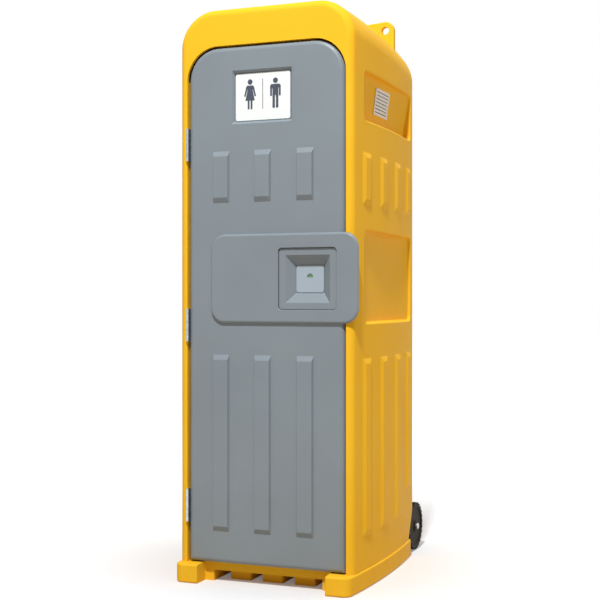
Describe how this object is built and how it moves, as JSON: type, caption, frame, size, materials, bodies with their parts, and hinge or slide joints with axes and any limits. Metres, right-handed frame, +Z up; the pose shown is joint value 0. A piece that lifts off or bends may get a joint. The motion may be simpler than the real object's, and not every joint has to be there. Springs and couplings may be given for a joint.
{
  "type": "portable toilet cabin",
  "caption": "Narrow upright site cabin on a skid base, with a hinged outward door, vacancy lock, side louvre vents, roof lifting eyes and rear transport wheels.",
  "frame": {"origin": "middle of the base footprint, on the ground, on the sole of the middle skid", "axes": "+Z up, the door faces -Y, +X to the right of someone facing the door"},
  "size_m": [0.7618, 1.025, 2.24],
  "materials": {
    "yellow_shell": "rotomoulded polyethylene, satin with a fine orange peel",
    "door_grey": "rotomoulded polyethylene, satin",
    "latch_silver": "moulded plastic, satin",
    "sign_white": "smooth",
    "sign_slate": "printed film",
    "vent_white": "moulded plastic",
    "zinc_steel": "zinc plated",
    "black_rubber": "matte",
    "tank_grey": "moulded polyethylene",
    "seat_black": "smooth",
    "tyre_black": "solid rubber",
    "hub_black": "moulded plastic",
    "indicator_green": "printed",
    "indicator_red": "printed",
    "clear_window": "clear plastic",
    "paper_white": "soft"
  },
  "bodies": {
    "cabin": {"cabin_shell": "yellow_shell", "base_pallet": "yellow_shell", "floor_mat": "black_rubber", "lifting_lug_left": "yellow_shell", "lifting_lug_right": "yellow_shell", "lifting_rod_left": "zinc_steel", "lifting_rod_right": "zinc_steel", "vent_grille_left": "vent_white", "vent_grille_right": "vent_white", "door_jamb_left": "yellow_shell", "door_jamb_right": "yellow_shell", "door_header": "yellow_shell", "door_seal": "black_rubber", "strike_plate": "zinc_steel", "hinge_frame_leaf_lower": "zinc_steel", "hinge_frame_leaf_middle": "zinc_steel", "hinge_frame_leaf_upper": "zinc_steel", "hinge_pins": "zinc_steel", "waste_tank": "tank_grey", "seat_ring": "seat_black", "lid_hinge_pin": "zinc_steel", "lid_hinge_ears": "seat_black", "vent_pipe": "tank_grey", "vent_cowl": "tank_grey", "paper_holder": "tank_grey", "axle": "zinc_steel", "axle_bracket_left": "zinc_steel", "axle_bracket_right": "zinc_steel", "bracket_bolts": "zinc_steel", "axle_cap_left": "zinc_steel", "axle_cap_right": "zinc_steel"},
    "door": {"door_outer_panel": "door_grey", "door_inner_panel": "door_grey", "hinge_door_leaf_lower": "zinc_steel", "hinge_door_leaf_middle": "zinc_steel", "hinge_door_leaf_upper": "zinc_steel", "sign_plate": "sign_white", "sign_woman": "sign_slate", "sign_man": "sign_slate", "sign_divider": "sign_slate", "handle_plate": "door_grey", "latch_bezel": "door_grey", "indicator_cover": "latch_silver", "indicator_window": "clear_window", "lock_case": "zinc_steel", "inner_pull": "door_grey", "coat_hook": "zinc_steel"},
    "lock_turn": {"indicator_disc": "sign_white", "indicator_green": "indicator_green", "indicator_red": "indicator_red", "lock_spindle": "zinc_steel", "thumb_turn": "zinc_steel"},
    "lock_bolt": {"lock_bolt": "zinc_steel"},
    "wheel_left": {"wheel_tyre_left": "tyre_black", "wheel_hub_left": "hub_black"},
    "wheel_right": {"wheel_tyre_right": "tyre_black", "wheel_hub_right": "hub_black"},
    "lid": {"toilet_lid": "seat_black"},
    "paper": {"paper_roll": "paper_white"}
  },
  "joints": [
    {"name": "door_swing", "type": "hinge", "parent": "cabin", "child": "door", "pos_m": [-0.32175, -0.368, 1.07], "axis": [0, 0, -1], "range_deg": [0, 110]},
    {"name": "lock_turn", "type": "hinge", "parent": "door", "child": "lock_turn", "pos_m": [0.179, -0.328, 1.161], "axis": [0, -1, 0], "range_deg": [0, 90]},
    {"name": "lock_bolt_slide", "type": "slide", "parent": "door", "child": "lock_bolt", "axis": [1, 0, 0], "range_m": [0, 0.014]},
    {"name": "wheel_left_spin", "type": "hinge", "parent": "cabin", "child": "wheel_left", "pos_m": [-0.322, 0.515, 0.104], "axis": [1, 0, 0], "continuous": true},
    {"name": "wheel_right_spin", "type": "hinge", "parent": "cabin", "child": "wheel_right", "pos_m": [0.322, 0.515, 0.104], "axis": [1, 0, 0], "continuous": true},
    {"name": "lid_lift", "type": "hinge", "parent": "cabin", "child": "lid", "pos_m": [0, 0.412, 0.502], "axis": [-1, 0, 0], "range_deg": [0, 95]},
    {"name": "paper_spin", "type": "hinge", "parent": "cabin", "child": "paper", "pos_m": [0.29289, 0.03, 0.76], "axis": [0, 1, 0], "continuous": true}
  ],
  "couplings": [
    {"joint": "lock_bolt_slide", "follows": "lock_turn", "m_per_rad": 0.0089126}
  ]
}
